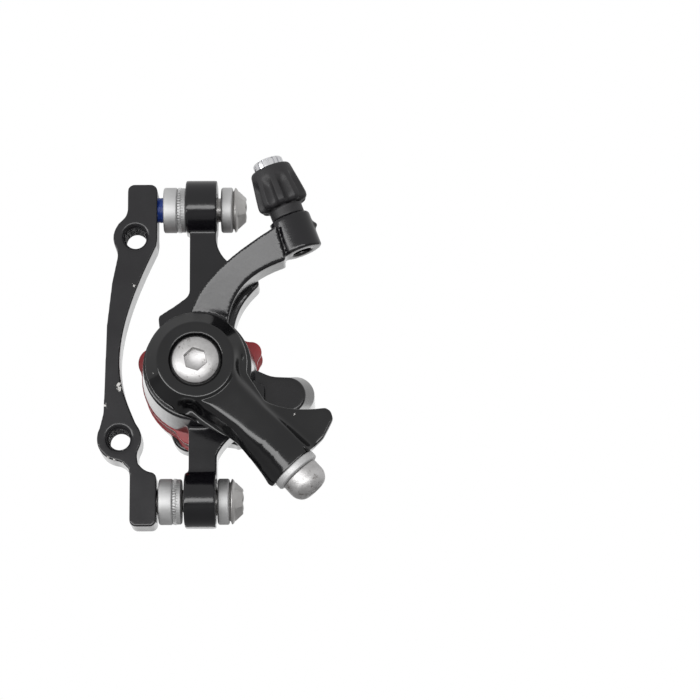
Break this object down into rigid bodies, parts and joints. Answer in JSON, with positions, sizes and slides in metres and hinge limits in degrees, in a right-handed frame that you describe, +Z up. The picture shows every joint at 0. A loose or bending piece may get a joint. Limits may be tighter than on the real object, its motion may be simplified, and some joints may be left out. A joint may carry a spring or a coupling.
{
  "type": "bicycle disc brake",
  "caption": "Cable-operated disc brake caliper on its fork adapter, with a swinging lever, barrel adjuster, ball drive and a pair of pads.",
  "frame": {"origin": "midway between the two threaded fork holes, on the adapter face that meets the fork", "axes": "+X from the fork leg towards the cable side, +Y from the lever towards the wheel, +Z up along the fork"},
  "size_m": [0.0585, 0.048, 0.0907],
  "materials": {
    "black_body": "gloss black paint over cast aluminium",
    "black_adapter": "satin black paint",
    "black_lever": "gloss black paint",
    "zinc_steel": "dull zinc plate",
    "screw_steel": "satin nickel plate",
    "drive_steel": "ground steel",
    "spring_steel": "drawn wire",
    "bronze": "plain",
    "seal_rubber": "matte",
    "bush_plastic": "matte",
    "pad_red": "red paint",
    "pad_lining": "pressed friction compound",
    "knob_plastic": "moulded, matte",
    "bright_chrome": "bright plate"
  },
  "bodies": {
    "caliper": {"adapter": "black_adapter", "caliper_body": "black_body", "upper_mount_bolt": "zinc_steel", "upper_cup_washer": "zinc_steel", "upper_serrated_washer": "zinc_steel", "upper_head_washer": "zinc_steel", "lower_mount_bolt": "zinc_steel", "lower_cup_washer": "zinc_steel", "lower_serrated_washer": "zinc_steel", "lower_head_washer": "zinc_steel", "dust_seal": "seal_rubber", "return_spring": "spring_steel", "spindle_bushing": "bush_plastic", "thrust_washer": "drive_steel", "pad_adjuster_clip": "spring_steel"},
    "lever": {"lever_arm": "black_lever", "lever_screw": "screw_steel", "drive_spindle": "drive_steel", "cable_clamp_bolt": "screw_steel", "cable_clamp_washer": "screw_steel"},
    "cage": {"ball_cage": "bronze"},
    "balls": {"drive_balls": "bright_chrome"},
    "piston": {"piston": "drive_steel", "piston_magnet": "bright_chrome", "outer_pad_plate": "pad_red", "outer_pad_lining": "pad_lining"},
    "inner_pad": {"inner_pad_plate": "pad_red", "inner_pad_lining": "pad_lining"},
    "pad_adjuster": {"pad_adjuster": "zinc_steel", "pad_adjuster_magnet": "bright_chrome"},
    "housing_seat": {"housing_seat": "bright_chrome"},
    "barrel": {"barrel_knob": "knob_plastic", "barrel_stem": "zinc_steel"}
  },
  "joints": [
    {"name": "lever_swing", "type": "hinge", "parent": "caliper", "child": "lever", "pos_m": [0.0177, 0, -0.0087], "axis": [0, -1, 0], "range_deg": [0, 32], "stiffness_Nm_per_rad": 0.25, "springref_deg": -20.05},
    {"name": "cage_turn", "type": "hinge", "parent": "caliper", "child": "cage", "pos_m": [0.0177, 0, -0.0087], "axis": [0, -1, 0], "range_deg": [0, 16]},
    {"name": "ball_lift", "type": "slide", "parent": "cage", "child": "balls", "axis": [0, 1, 0], "range_m": [0, 0.00075001]},
    {"name": "piston_slide", "type": "slide", "parent": "caliper", "child": "piston", "axis": [0, 1, 0], "range_m": [0, 0.0015]},
    {"name": "inner_pad_slide", "type": "slide", "parent": "caliper", "child": "inner_pad", "axis": [0, -1, 0], "range_m": [0, 0.002]},
    {"name": "pad_adjuster_turn", "type": "hinge", "parent": "inner_pad", "child": "pad_adjuster", "pos_m": [0.0177, 0, -0.0087], "axis": [0, -1, 0], "range_deg": [0, 720]},
    {"name": "barrel_lift", "type": "slide", "parent": "caliper", "child": "housing_seat", "axis": [-0.3551, 0, 0.9348], "range_m": [0, 0.004]},
    {"name": "barrel_turn", "type": "hinge", "parent": "housing_seat", "child": "barrel", "pos_m": [0.03934, -0.01, 0.03032], "axis": [-0.3551, 0, 0.9348], "range_deg": [0, 1440]}
  ],
  "couplings": [
    {"joint": "cage_turn", "follows": "lever_swing", "ratio": 0.5},
    {"joint": "ball_lift", "follows": "lever_swing", "m_per_rad": 0.0013429},
    {"joint": "piston_slide", "follows": "lever_swing", "m_per_rad": 0.0026857},
    {"joint": "pad_adjuster_turn", "follows": "inner_pad_slide", "rad_per_m": 6283.2},
    {"joint": "barrel_turn", "follows": "barrel_lift", "rad_per_m": 6283.2}
  ]
}
